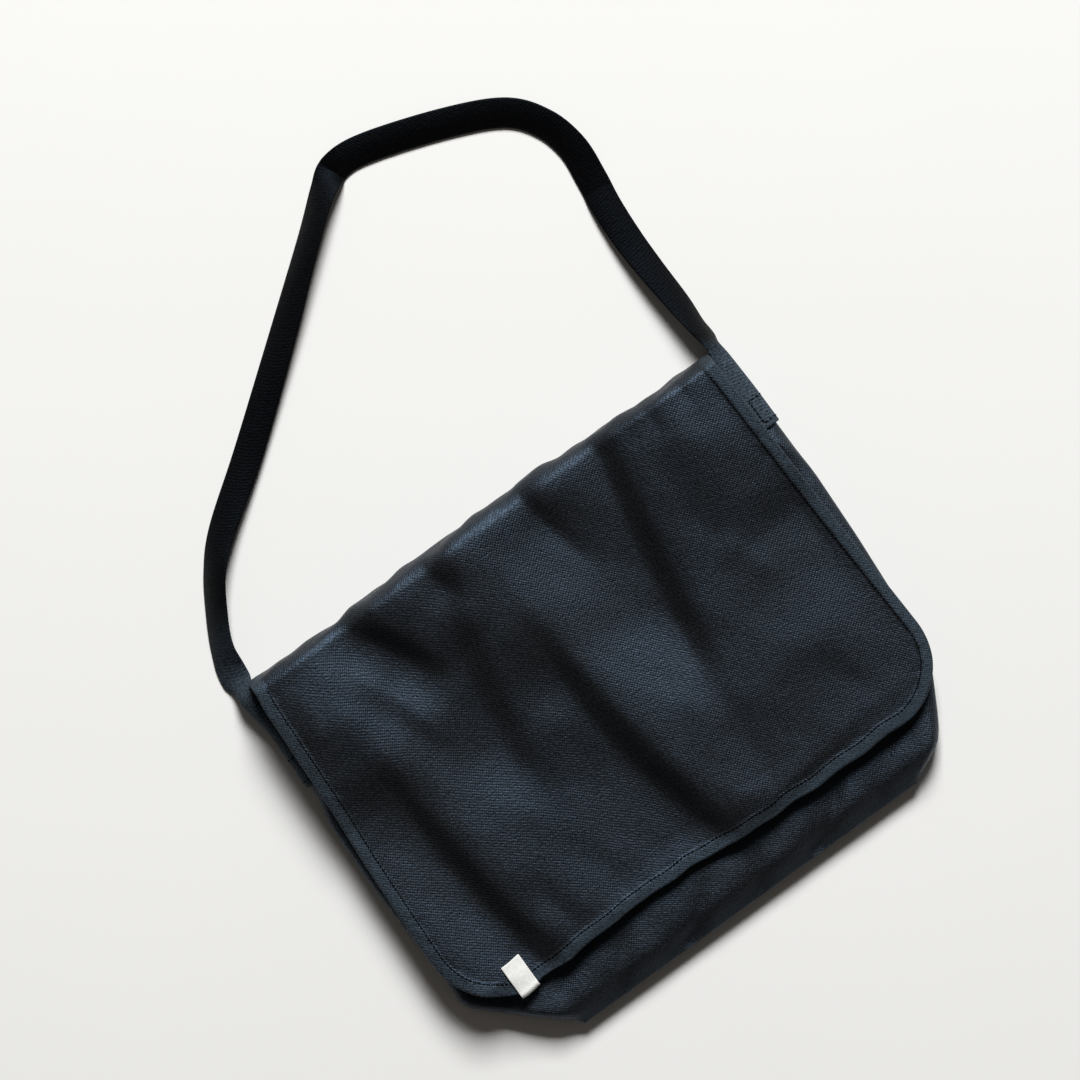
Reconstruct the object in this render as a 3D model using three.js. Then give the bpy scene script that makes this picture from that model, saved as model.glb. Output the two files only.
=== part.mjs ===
// A soft flap shoulder bag of dark cloth, lying on its back with its strap spread out above it.
// Millimetres, +Z up. The origin is on the floor under the middle of the back panel, +X is the bag's
// right side and +Y runs from its bottom to its strap.
import * as THREE from 'three';

// Cloth thicknesses, and the gap kept between neighbouring pieces
const CLOTH = 1.2;
const HEM = 2.2;
const STRAP_CLOTH = 2.0;
const LABEL_CLOTH = 1.0;
const GAP = 0.4;

// Body: the seam's height over the floor, how far in from the edge each panel rolls, and how far the front
// rises in its roll. Each panel is cut where its rolls end, so that the space between the panels is open.
const SEAM_HEIGHT = 10;
const FRONT_EDGE = SEAM_HEIGHT + GAP / 2;
const BACK_EDGE = SEAM_HEIGHT - GAP / 2;
const FRONT_ROLL = 9;
const BACK_ROLL = 12;
const SIDE_RISE = 6;
const CUT_GAP = 1.1;
const SIDE_CUT_GAP = 1.8;
const BODY_BOTTOM = -164.2;
const FRONT_TOP = 146;
const BACK_TOP = 152;

// Sections of the body from its bottom to its top: both sides of the outline
const BODY_SECTIONS = [
  { y: -164.5, left: -143, right: 134 },
  { y: -160, left: -148, right: 150 },
  { y: -154, left: -156, right: 165 },
  { y: -148, left: -163, right: 172 },
  { y: -136, left: -176, right: 180 },
  { y: -105, left: -208.5, right: 197 },
  { y: -80, left: -206.5, right: 204 },
  { y: -54, left: -209, right: 205 },
  { y: 0, left: -210.5, right: 208.5 },
  { y: 54, left: -209, right: 210.5 },
  { y: 74, left: -204, right: 209.5 },
  { y: 128, left: -203, right: 209 },
  { y: 164.5, left: -208.5, right: 207.5 },
];
const OUTLINE_SOFTENING = 3;

// Flap: its sides, its wavy lower edge with round corners, and the roll over the top of the bag
const FLAP_SIDES = [
  { y: -123, left: -207, right: 208 },
  { y: -60, left: -206.5, right: 205.3 },
  { y: 18, left: -203.4, right: 201.6 },
  { y: 60, left: -200, right: 200 },
  { y: 147, left: -196.4, right: 197 },
  { y: 163, left: -193.6, right: 196 },
];
const FLAP_LOWER_EDGE = [
  { x: -200, y: -119 },
  { x: -170, y: -120.5 },
  { x: -72, y: -117 },
  { x: -22, y: -116.8 },
  { x: 14, y: -121 },
  { x: 68, y: -123 },
  { x: 200, y: -124 },
];
const FLAP_TOP_EDGE = [
  { x: -190, y: 166.5 },
  { x: -120, y: 167 },
  { x: -60, y: 168.6 },
  { x: 50, y: 169.8 },
  { x: 120, y: 166.5 },
  { x: 165, y: 164.2 },
  { x: 195, y: 165 },
];
const FLAP_CORNER = 52;
const HEM_WIDTH = 9.2;
const TOP_ROLL_MIDDLE = 155;
const CALM_FROM = 146;
const ROOT_LENGTH = 9;
const ROOT_GAP = 0.7;
const ROOT_HEIGHT = CLOTH + ROOT_GAP;

// How the flap lies: clear of the front and of the strap's sewn ends, and puffed up more towards its top
const FLAP_ROLL = 20;
const FLAP_OVERHANG = 8;
const HEM_CLEARANCE = 2.8;
const STRAP_CLEARANCE = 6.4;
const STRAP_CLEARANCE_FROM = 36;
const STRAP_CLEARANCE_TO = 72;
const STRAP_CLEARANCE_REACH = 40;
const PUFF = 14;
const LOWER_PUFF = 0.62;
const LOWER_PUFF_FROM = -20;
const LOWER_PUFF_TO = 150;
const HEM_FOLD_SHARE = 0.55;
const HEM_FOLD_REACH = 25;
const CREASE_POWER = 1.6;
const SOFT_FLOOR = 3;
const PINCH_SHARE = 0.3;

// Folds of the flap: a line from (x0, y0) to (x1, y1), bowed to its right-hand bank, with a bank on its
// left and on its right, its depth (a ridge is negative), and how gently it starts and ends
const FOLDS = [
  { x0: -152, y0: 204, x1: -90, y1: 98, bow: 3, left: 48, right: 14, depth: 7.5, start: 10, end: 50 },
  { x0: -125, y0: 204, x1: -76, y1: 100, bow: 3, left: 14, right: 60, depth: -5.5, start: 10, end: 36 },
  { x0: -130, y0: 124, x1: -102, y1: 50, bow: 0, left: 10, right: 34, depth: -2.4, start: 30, end: 60 },
  { x0: -54, y0: 126, x1: -79, y1: 2, bow: -5, left: 55, right: 18, depth: 5.5, start: 60, end: 60 },
  { x0: -36, y0: 126, x1: -60, y1: 0, bow: -3, left: 18, right: 55, depth: -5.5, start: 70, end: 50 },
  { x0: -16, y0: 64, x1: 12, y1: -122, bow: -13, left: 80, right: 15, depth: 7.5, start: 60, end: 14 },
  { x0: -4, y0: 90, x1: 26, y1: -122, bow: -6, left: 16, right: 70, depth: -8, start: 140, end: 14 },
  { x0: 112, y0: 212, x1: 66, y1: 0, bow: -6, left: 95, right: 16, depth: 8.5, start: 20, end: 90 },
  { x0: 126, y0: 212, x1: 84, y1: -6, bow: -4, left: 15, right: 90, depth: -6, start: 20, end: 90 },
  { x0: 50, y0: -48, x1: 160, y1: -40, bow: 0, left: 45, right: 45, depth: -5, start: 60, end: 60 },
  { x0: -160, y0: 44, x1: -141, y1: -122, bow: -6, left: 60, right: 15, depth: 8.5, start: 70, end: 14 },
  { x0: -204, y0: 36, x1: -204, y1: -112, bow: 0, left: 14, right: 44, depth: -5, start: 60, end: 14 },
  { x0: -146, y0: 70, x1: -126, y1: -122, bow: -5, left: 15, right: 60, depth: -6.5, start: 110, end: 14 },
  { x0: -190, y0: 114, x1: -130, y1: 102, bow: 0, left: 40, right: 90, depth: -6, start: 40, end: 80 },
  { x0: 112, y0: 142, x1: 204, y1: 104, bow: 0, left: 50, right: 90, depth: -5, start: 40, end: 40 },
  { x0: -90, y0: 172, x1: 96, y1: 172, bow: 0, left: 66, right: 30, depth: -13, start: 110, end: 70 },
  { x0: 24, y0: 176, x1: 42, y1: 108, bow: 2, left: 34, right: 10, depth: 6.5, start: 8, end: 70 },
  { x0: -62, y0: 180, x1: -42, y1: 130, bow: 0, left: 36, right: 12, depth: 8, start: 10, end: 40 },
  { x0: -117, y0: -64, x1: -107, y1: -112, bow: 0, left: 18, right: 11, depth: 2.4, start: 40, end: 14 },
  { x0: 68, y0: -33, x1: 62, y1: -108, bow: 0, left: 18, right: 30, depth: 3, start: 60, end: 30 },
  { x0: -210, y0: -124, x1: -158, y1: -122, bow: 0, left: 30, right: 80, depth: -5, start: 40, end: 30 },
];

// Strap: its route over the floor from the right sewn end to the left one, and its tilt in degrees: 0 where
// it lies flat, 90 where it stands with its outer face away from the loop, less than 0 where it leans in
const STRAP_WIDTH = 20.6;
const STRAP_ON_FRONT = 12.9;
const STRAP_GAP = 0.9;
const STRAP_ROUTE = [
  { x: 207, y: 99, tilt: 90 },
  { x: 208, y: 140, tilt: 90 },
  { x: 205, y: 172, tilt: 59 },
  { x: 203.5, y: 186, tilt: 53 },
  { x: 202.8, y: 206, tilt: 39 },
  { x: 201.2, y: 235, tilt: 28 },
  { x: 200.6, y: 262, tilt: 16 },
  { x: 202, y: 290, tilt: 6 },
  { x: 205, y: 312, tilt: -4 },
  { x: 207, y: 338, tilt: -16 },
  { x: 200.5, y: 363, tilt: -20 },
  { x: 183, y: 385, tilt: -18 },
  { x: 145.5, y: 403.5, tilt: -16 },
  { x: 92.5, y: 421.5, tilt: -14 },
  { x: 66, y: 424.5, tilt: -10 },
  { x: 48, y: 415.5, tilt: 30 },
  { x: 18, y: 392, tilt: 40 },
  { x: -36.5, y: 348.5, tilt: 26 },
  { x: -103, y: 297, tilt: 14 },
  { x: -148.5, y: 264.5, tilt: 26 },
  { x: -170, y: 244, tilt: 42 },
  { x: -185, y: 221.5, tilt: 44 },
  { x: -197.5, y: 197, tilt: 40 },
  { x: -203, y: 172, tilt: 18 },
  { x: -204, y: 140, tilt: 90 },
  { x: -203, y: 84, tilt: 90 },
];
const WRAP_TOP = 154;
const WRAP_FADE = 20;

// Label: a white tape folded round the flap's lower edge
const LABEL_MIDDLE = -162;
const LABEL_WIDTH = 14.7;
const LABEL_FRONT = 23;
const LABEL_BACK = 8;
const LABEL_GAP = 0.85;

// Finishes
const CANVAS_COLOUR = '#20262e';
const STRAP_COLOUR = '#1b2027';
const TAPE_COLOUR = '#ecebe7';
const CANVAS_ROUGHNESS = 0.85;
const TAPE_ROUGHNESS = 0.8;

// Grid steps
const ROLL_STEPS = 5;
const BODY_ROWS = 16;
const FRONT_COLUMNS = 4;
const BACK_COLUMNS = 4;
const FLAP_COLUMNS = 28;
const FLAP_ROWS = 19;
const FLAP_CORNER_STEPS = 6;
const FLAP_ROLL_STEPS = 7;
const STRAP_STEPS_PER_ROW = 3;
const STRAP_COLUMNS = 6;
const LABEL_COLUMNS = 2;
const LABEL_ROWS = 4;
const LABEL_TURN_STEPS = 6;
const SIDE_WALK_STEPS = 90;

// Eases from 0 to 1 as t goes from 0 to 1, and stays there outside
function ease(t) {
  return THREE.MathUtils.smoothstep(t, 0, 1);
}

const mix = THREE.MathUtils.lerp;

// Reads a table column at a place, straight between the rows
function lookUp(table, key, column, at) {
  const next = table.findIndex((row) => row[key] >= at);
  if (next === 0) return table[0][column];
  if (next < 0) return table[table.length - 1][column];
  const before = table[next - 1];
  const after = table[next];
  return mix(before[column], after[column], (at - before[key]) / (after[key] - before[key]));
}

// Reads a table of sections with its corners softened: the mean of five readings around the place
function readSoft(table, column, y) {
  const offsets = [-2, -1, 0, 1, 2];
  const readings = offsets.map((k) => lookUp(table, 'y', column, y + k * OUTLINE_SOFTENING));
  return readings.reduce((sum, reading) => sum + reading) / offsets.length;
}

// A quarter ellipse: 0 at the edge, standing upright there, and 1 from the given distance inwards
function roll(inwards, distance) {
  const left = 1 - THREE.MathUtils.clamp(inwards / distance, 0, 1);
  return Math.sqrt(1 - left * left);
}

// Even steps from one value to another, both ends included
function evenSteps(from, to, steps) {
  return Array.from({ length: steps + 1 }, (_, k) => mix(from, to, k / steps));
}

// Distances inwards that divide a roll into equal turns
function rollSteps(distance, steps) {
  return evenSteps(0, Math.PI / 2, steps).map((turn) => distance * (1 - Math.cos(turn)));
}

// Heights of the panels' outer faces: each rolls from the seam to its level part
function rollShare(x, y, width) {
  const fromLeft = roll(x - readSoft(BODY_SECTIONS, 'left', y), width);
  const fromRight = roll(readSoft(BODY_SECTIONS, 'right', y) - x, width);
  return fromLeft * fromRight * roll(y - BODY_BOTTOM, width);
}

function frontHeight(x, y) {
  return FRONT_EDGE + SIDE_RISE * rollShare(x, y, FRONT_ROLL);
}

function backHeight(x, y) {
  return BACK_EDGE * (1 - rollShare(x, y, BACK_ROLL));
}

// The flap's folds: each is a dip across its line, fading out over both banks and towards both ends
function foldHeight(x, y) {
  let height = 0;
  for (const fold of FOLDS) {
    const length = Math.hypot(fold.x1 - fold.x0, fold.y1 - fold.y0);
    const alongX = (fold.x1 - fold.x0) / length;
    const alongY = (fold.y1 - fold.y0) / length;
    const along = (x - fold.x0) * alongX + (y - fold.y0) * alongY;
    const share = THREE.MathUtils.clamp(along / length, 0, 1);
    const bow = fold.bow * 4 * share * (1 - share);
    const across = (y - fold.y0) * alongX - (x - fold.x0) * alongY - bow;
    const bank = across < 0 ? fold.left : fold.right;
    const starting = ease(along / fold.start + 0.5);
    const ending = ease((length - along) / fold.end + 0.5);
    height -= fold.depth * Math.exp(-(Math.abs(across / bank) ** CREASE_POWER)) * starting * ending;
  }
  return height;
}

// Where the flap's height is read for a place at y: y itself, slowing to a stop between CALM_FROM and the
// start of the roll over the top, so that the flap is level there
function calmed(y) {
  const beyond = Math.max(y - CALM_FROM, 0);
  return y - beyond ** 2 / (2 * (TOP_ROLL_MIDDLE - CALM_FROM));
}

// The height of the flap's outer face where it lies on the front: a bed rolled at its sides, held clear of
// the front, puffed up and folded, with the deepest folds eased off over the bed
function flapHeight(x, place) {
  const y = calmed(place);
  const fromLeft = roll(x - readSoft(BODY_SECTIONS, 'left', y) + FLAP_OVERHANG, FLAP_ROLL);
  const fromRight = roll(readSoft(BODY_SECTIONS, 'right', y) - x + FLAP_OVERHANG, FLAP_ROLL);
  const bed = FRONT_EDGE + SIDE_RISE * fromLeft * fromRight;
  const inside = Math.min(x - readSoft(FLAP_SIDES, 'left', y), readSoft(FLAP_SIDES, 'right', y) - x);
  const nearStrap = ease((y - STRAP_CLEARANCE_FROM) / (STRAP_CLEARANCE_TO - STRAP_CLEARANCE_FROM));
  const overStrap = nearStrap * ease(2 - inside / STRAP_CLEARANCE_REACH);
  const clearance = mix(HEM_CLEARANCE, STRAP_CLEARANCE, overStrap);
  const above = y - lookUp(FLAP_LOWER_EDGE, 'x', 'y', x);
  const upwards = ease((y - LOWER_PUFF_FROM) / (LOWER_PUFF_TO - LOWER_PUFF_FROM));
  const hemShare = ease(Math.min(inside, above) / HEM_FOLD_REACH);
  const lift = PUFF * mix(LOWER_PUFF, 1, upwards) + foldHeight(x, y) * mix(HEM_FOLD_SHARE, 1, hemShare);
  return bed + clearance + (lift + Math.hypot(lift, SOFT_FLOOR)) / 2;
}

// A closed cloth wall under a grid of points on its outer face. A grid's rows run towards the left of its
// columns as seen from outside. Edge points chosen by level get a wall that goes straight inwards.
function clothWall(grid, thickness, level = () => false) {
  const rows = grid.length;
  const columns = grid[0].length;
  const within = (k, count) => THREE.MathUtils.clamp(k, 0, count - 1);
  const place = (i, j) => grid[within(i, rows)][within(j, columns)];
  const outer = [];
  const inner = [];
  for (let i = 0; i < rows; i++) {
    for (let j = 0; j < columns; j++) {
      const alongRow = place(i, j + 1).clone().sub(place(i, j - 1));
      const alongColumn = place(i + 1, j).clone().sub(place(i - 1, j));
      const outwards = alongRow.cross(alongColumn);
      if (level(i, j)) outwards.z = 0;
      outer.push(grid[i][j]);
      inner.push(grid[i][j].clone().addScaledVector(outwards.normalize(), -thickness(i, j)));
    }
  }
  const index = [];
  const under = rows * columns;
  const at = (i, j) => i * columns + j;
  const quad = (a, b, c, d) => index.push(a, b, c, a, c, d);
  for (let i = 0; i + 1 < rows; i++) {
    for (let j = 0; j + 1 < columns; j++) {
      quad(at(i, j), at(i, j + 1), at(i + 1, j + 1), at(i + 1, j));
      quad(under + at(i, j), under + at(i + 1, j), under + at(i + 1, j + 1), under + at(i, j + 1));
    }
    quad(at(i, 0), at(i + 1, 0), under + at(i + 1, 0), under + at(i, 0));
    const end = columns - 1;
    quad(at(i + 1, end), at(i, end), under + at(i, end), under + at(i + 1, end));
  }
  for (let j = 0; j + 1 < columns; j++) {
    const end = rows - 1;
    quad(at(0, j + 1), at(0, j), under + at(0, j), under + at(0, j + 1));
    quad(at(end, j), at(end, j + 1), under + at(end, j + 1), under + at(end, j));
  }
  const geometry = new THREE.BufferGeometry().setFromPoints([...outer, ...inner]);
  geometry.setIndex(index);
  return geometry;
}

// The stretches of a panel: its level middle, and its rolls at the bottom, left and right seams. Rows run
// upwards and start at the left, and both panels have the same rows along their side seams.
function panelStretches(width, columns, topRows, height) {
  const turns = rollSteps(width, ROLL_STEPS);
  const low = turns.map((d) => BODY_BOTTOM + d);
  const sharedRows = evenSteps(BODY_BOTTOM + FRONT_ROLL + BACK_ROLL, FRONT_TOP, BODY_ROWS);
  const high = [BODY_BOTTOM + width + CUT_GAP, ...sharedRows, ...topRows];
  const left = (y) => readSoft(BODY_SECTIONS, 'left', y);
  const right = (y) => readSoft(BODY_SECTIONS, 'right', y);
  const inner = width + SIDE_CUT_GAP;
  const acrossMiddle = (y) => evenSteps(left(y) + inner, right(y) - inner, columns);
  const acrossLeft = (y) => turns.map((d) => left(y) + d);
  const acrossRight = (y) => turns.map((d) => right(y) - d).reverse();
  const grid = (ys, across) => ys.map((y) => across(y).map((x) => new THREE.Vector3(x, y, height(x, y))));
  return {
    middle: grid(high, acrossMiddle),
    bottom: grid(low, acrossMiddle),
    left: grid([...low, ...high], acrossLeft),
    right: grid([...low, ...high], acrossRight),
  };
}

// Walls of a panel's stretches. Their edges at the seams go straight inwards. The back panel's rows are
// turned round, so that its outer face is underneath.
function panelWalls(stretches, underneath) {
  const { middle, bottom, left, right } = stretches;
  const turned = (grid) => (underneath ? [...grid].reverse() : grid);
  const seamRow = (grid) => (underneath ? grid.length - 1 : 0);
  const rightEdge = right[0].length - 1;
  return {
    middle: clothWall(turned(middle), () => CLOTH),
    bottom: clothWall(turned(bottom), () => CLOTH, (i) => i === seamRow(bottom)),
    left: clothWall(turned(left), () => CLOTH, (i, j) => i === seamRow(left) || j === 0),
    right: clothWall(turned(right), () => CLOTH, (i, j) => i === seamRow(right) || j === rightEdge),
  };
}

// Flap: rows run from the lower edge up the front, round the roll and back to the root on the back panel
function flap() {
  const across = (left, right) => [
    left,
    ...evenSteps(left + HEM_WIDTH, right - HEM_WIDTH, FLAP_COLUMNS),
    right,
  ];
  const corner = rollSteps(FLAP_CORNER, FLAP_CORNER_STEPS);
  const lowest = FLAP_LOWER_EDGE[0].y;
  const upper = evenSteps(FLAP_CORNER, TOP_ROLL_MIDDLE - lowest, FLAP_ROWS).slice(1);
  const front = [...corner, ...upper].map((above) => {
    const y = lowest + above;
    const inset = FLAP_CORNER * (1 - roll(above, FLAP_CORNER));
    const xs = across(readSoft(FLAP_SIDES, 'left', y) + inset, readSoft(FLAP_SIDES, 'right', y) - inset);
    const share = above / (TOP_ROLL_MIDDLE - lowest);
    return xs.map((x) => {
      const wavy = mix(lookUp(FLAP_LOWER_EDGE, 'x', 'y', x), TOP_ROLL_MIDDLE, share);
      return new THREE.Vector3(x, wavy, flapHeight(x, wavy));
    });
  });
  const top = front[front.length - 1];
  const turns = evenSteps(0, Math.PI, FLAP_ROLL_STEPS).slice(1);
  const rolled = turns.map((turn) =>
    top.map((point) => {
      const pinch = PINCH_SHARE * Math.min(foldHeight(point.x, calmed(TOP_ROLL_MIDDLE)), 0);
      const reach = lookUp(FLAP_TOP_EDGE, 'x', 'y', point.x) - TOP_ROLL_MIDDLE + pinch;
      const half = (point.z - ROOT_HEIGHT) / 2;
      const y = TOP_ROLL_MIDDLE + reach * Math.sin(turn);
      return new THREE.Vector3(point.x, y, ROOT_HEIGHT + half * (1 + Math.cos(turn)));
    }),
  );
  const root = top.map((point) => new THREE.Vector3(point.x, TOP_ROLL_MIDDLE - ROOT_LENGTH, ROOT_HEIGHT));
  const end = top.length - 1;
  const hemmed = (i, j) => j < 2 || j > end - 2 || corner[i] < HEM_WIDTH;
  return clothWall([...front, ...rolled, root], (i, j) => (hemmed(i, j) ? HEM : CLOTH));
}

// A point on the strap's outer face where it is wrapped round a side of the body: the walk goes from the
// seam over the front (positive reach) or under the back (negative) along the panel's own roll and on over
// its level part
function wrappedPoint(side, y, reach) {
  const overFront = reach > 0;
  const depth = overFront ? FRONT_ROLL : BACK_ROLL;
  const rise = overFront ? SIDE_RISE : -SEAM_HEIGHT;
  let turn = 0;
  let walked = 0;
  const step = Math.PI / 2 / SIDE_WALK_STEPS;
  while (walked < Math.abs(reach) && turn < Math.PI / 2) {
    walked += Math.hypot(depth * Math.sin(turn), rise * Math.cos(turn)) * step;
    turn += step;
  }
  const normal = new THREE.Vector2(Math.cos(turn) / depth, Math.sin(turn) / rise).normalize();
  const off = STRAP_GAP + STRAP_CLOTH;
  const beyond = Math.max(Math.abs(reach) - walked, 0);
  const inwards = depth * (1 - Math.cos(turn)) - off * normal.x + beyond;
  const z = SEAM_HEIGHT + rise * Math.sin(turn) + off * normal.y;
  const edge = readSoft(BODY_SECTIONS, side > 0 ? 'right' : 'left', y);
  return new THREE.Vector3(edge - side * inwards, y, z);
}

// Strap: a flat band along its route, tilted as the table says and standing on the floor by its lower
// edge, and wrapped round the sides of the body at both ends
function strap() {
  const curve = new THREE.CatmullRomCurve3(
    STRAP_ROUTE.map(({ x, y, tilt }) => new THREE.Vector3(x, y, tilt)),
    false,
    'catmullrom',
  );
  const stations = evenSteps(0, 1, (STRAP_ROUTE.length - 1) * STRAP_STEPS_PER_ROW);
  const shares = evenSteps(0, 1, STRAP_COLUMNS);
  const grid = shares.map((share) =>
    stations.map((station) => {
      const { x, y, z: tiltDegrees } = curve.getPoint(station);
      const heading = curve.getTangent(station).setZ(0).normalize();
      const tilt = THREE.MathUtils.degToRad(tiltDegrees);
      const sideways = new THREE.Vector3(-heading.y, heading.x, 0);
      const widthwise = sideways.multiplyScalar(Math.cos(tilt)).setZ(Math.sin(tilt));
      const outwards = heading.clone().cross(widthwise);
      const middle = (STRAP_WIDTH * Math.abs(Math.sin(tilt)) + STRAP_CLOTH * Math.cos(tilt)) / 2;
      const free = new THREE.Vector3(x, y, middle);
      free.addScaledVector(widthwise, (share - 0.5) * STRAP_WIDTH);
      free.addScaledVector(outwards, STRAP_CLOTH / 2);
      const reach = STRAP_ON_FRONT - (1 - share) * STRAP_WIDTH;
      const wrapped = wrappedPoint(Math.sign(x), y, reach);
      return wrapped.lerp(free, ease((y - WRAP_TOP) / WRAP_FADE));
    }),
  );
  return clothWall(grid, () => STRAP_CLOTH);
}

// Label: rows run from the end of its back leaf, round the flap's lower edge and up its front leaf
function label() {
  const half = LABEL_WIDTH / 2;
  const reach = HEM / 2 + LABEL_GAP + LABEL_CLOTH;
  const xs = evenSteps(LABEL_MIDDLE - half, LABEL_MIDDLE + half, LABEL_COLUMNS);
  const edge = (x) => lookUp(FLAP_LOWER_EDGE, 'x', 'y', x);
  const leaf = (x, inwards, out) => {
    const y = edge(x) + inwards;
    return new THREE.Vector3(x, y, flapHeight(x, y) - HEM / 2 + out);
  };
  const back = evenSteps(LABEL_BACK, 0, LABEL_ROWS).map((d) => xs.map((x) => leaf(x, d, -reach)));
  const angles = evenSteps(-Math.PI / 2, Math.PI / 2, LABEL_TURN_STEPS).slice(1, -1);
  const turn = angles.map((angle) =>
    xs.map((x) => {
      const point = leaf(x, 0, reach * Math.sin(angle));
      return point.setY(point.y - reach * Math.cos(angle));
    }),
  );
  const front = evenSteps(0, LABEL_FRONT, LABEL_ROWS).map((d) => xs.map((x) => leaf(x, d, reach)));
  return clothWall([...back, ...turn, ...front], () => LABEL_CLOTH);
}

const bag = new THREE.Group();

function addPiece(name, geometry, colour, roughness) {
  const material = new THREE.MeshStandardMaterial({ color: colour, roughness, metalness: 0 });
  const piece = new THREE.Mesh(geometry, material);
  piece.name = name;
  bag.add(piece);
}

const back = panelWalls(panelStretches(BACK_ROLL, BACK_COLUMNS, [BACK_TOP], backHeight), true);
const front = panelWalls(panelStretches(FRONT_ROLL, FRONT_COLUMNS, [], frontHeight), false);
for (const [side, walls] of Object.entries({ back, front })) {
  addPiece(`${side}_panel`, walls.middle, CANVAS_COLOUR, CANVAS_ROUGHNESS);
  addPiece(`${side}_bottom_roll`, walls.bottom, CANVAS_COLOUR, CANVAS_ROUGHNESS);
  addPiece(`${side}_left_roll`, walls.left, CANVAS_COLOUR, CANVAS_ROUGHNESS);
  addPiece(`${side}_right_roll`, walls.right, CANVAS_COLOUR, CANVAS_ROUGHNESS);
}
addPiece('flap', flap(), CANVAS_COLOUR, CANVAS_ROUGHNESS);
addPiece('strap', strap(), STRAP_COLOUR, CANVAS_ROUGHNESS);
addPiece('label', label(), TAPE_COLOUR, TAPE_ROUGHNESS);

export default bag;
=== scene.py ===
"""A soft flap shoulder bag of dark navy canvas, lying on its back with its strap spread out above it.

Sizes are millimetres and turn into metres where a mesh is made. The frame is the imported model's: the origin
is on the floor under the middle of the back panel, +X is the bag's right side, and +Y runs from its bottom
to its strap.
"""
import math

import bpy
import numpy as np
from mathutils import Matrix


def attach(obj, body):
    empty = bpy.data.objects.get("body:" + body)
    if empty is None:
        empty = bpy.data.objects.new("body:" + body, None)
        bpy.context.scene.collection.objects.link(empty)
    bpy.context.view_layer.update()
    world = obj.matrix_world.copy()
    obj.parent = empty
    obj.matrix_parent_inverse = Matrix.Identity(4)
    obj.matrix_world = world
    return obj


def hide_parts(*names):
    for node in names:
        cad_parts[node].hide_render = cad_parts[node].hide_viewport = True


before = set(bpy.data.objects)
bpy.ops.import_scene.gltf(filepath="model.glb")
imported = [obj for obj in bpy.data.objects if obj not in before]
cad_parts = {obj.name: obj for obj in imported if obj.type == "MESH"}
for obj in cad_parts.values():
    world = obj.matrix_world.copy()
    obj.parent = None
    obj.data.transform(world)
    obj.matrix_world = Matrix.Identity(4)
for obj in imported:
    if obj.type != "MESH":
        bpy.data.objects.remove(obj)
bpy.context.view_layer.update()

MM = 0.001


def table(columns, *rows):
    """A short table with named columns, as one array for each column."""
    return dict(zip(columns.split(), np.array(rows, float).T))


# Cloth thicknesses
CLOTH = 1.2
HEM = 2.2
STRAP_CLOTH = 2.0
LABEL_CLOTH = 1.0
GAP = 0.4

# Body: two panels that meet at the seam's height, the back one flat on the floor and the front one over it
SEAM_HEIGHT = 10
FRONT_EDGE = SEAM_HEIGHT + GAP / 2
BACK_EDGE = SEAM_HEIGHT - GAP / 2
FRONT_ROLL = 9
BACK_ROLL = 12
SIDE_RISE = 6
BODY_BOTTOM = -164.2
FRONT_TOP = 146
BACK_TOP = 152
OUTLINE_SOFTENING = 3
FRONT_SLACK = 0.2
BODY_SECTIONS = table(
    "y left right",
    (-164.5, -143, 134),
    (-160, -148, 150),
    (-154, -156, 165),
    (-148, -163, 172),
    (-136, -176, 180),
    (-105, -208.5, 197),
    (-80, -206.5, 204),
    (-54, -209, 205),
    (0, -210.5, 208.5),
    (54, -209, 210.5),
    (74, -204, 209.5),
    (128, -203, 209),
    (164.5, -208.5, 207.5),
)

# Flap: its sides, its wavy lower edge with round corners, and the roll over the top of the bag
FLAP_SIDES = table(
    "y left right",
    (-123, -207, 208),
    (-60, -206.5, 205.3),
    (18, -203.4, 201.6),
    (60, -200, 200),
    (147, -196.4, 197),
    (163, -193.6, 196),
)
FLAP_LOWER_EDGE = table(
    "x y",
    (-200, -119),
    (-170, -120.5),
    (-72, -117),
    (-22, -116.8),
    (14, -121),
    (68, -123),
    (200, -124),
)
FLAP_CORNER = 52
HEM_WIDTH = 9.2
FLAP_TOP_EDGE = table(
    "x y",
    (-190, 166.5),
    (-120, 167),
    (-60, 168.6),
    (50, 169.8),
    (120, 166.5),
    (165, 164.2),
    (195, 165),
)
TOP_ROLL_MIDDLE = 155
CALM_FROM = 146
TOP_CRUMPLE = 0.6
ROOT_LENGTH = 9
ROOT_GAP = 0.7
ROOT_HEIGHT = CLOTH + ROOT_GAP

# How the flap lies: clear of the front and of the strap's sewn ends, and puffed up, more so towards its top
FLAP_ROLL = 20
FLAP_OVERHANG = 8
HEM_CLEARANCE = 2.8
STRAP_CLEARANCE = 6.4
STRAP_CLEARANCE_FROM = 36
STRAP_CLEARANCE_TO = 72
STRAP_CLEARANCE_REACH = 40
PUFF = 14
LOWER_PUFF = 0.62
LOWER_PUFF_FROM = -20
LOWER_PUFF_TO = 150
HEM_FOLD_SHARE = 0.55
HEM_FOLD_REACH = 25
CREASE_POWER = 1.6
SOFT_FLOOR = 3
PINCH_SHARE = 0.3
FLAP_SLACK = 0.12

# Ripples of slack cloth: the number of waves in a sum, and for each place a seed, the shortest and the
# longest wavelength
RIPPLE_WAVES = 16
FRONT_RIPPLES = (5, 24, 70)
FLAP_RIPPLES = (3, 22, 70)
HEM_RIPPLES = (7, 14, 60)
PUCKER_RIPPLES = (11, 7, 15)
TOP_RIPPLES = (13, 14, 60)

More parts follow.
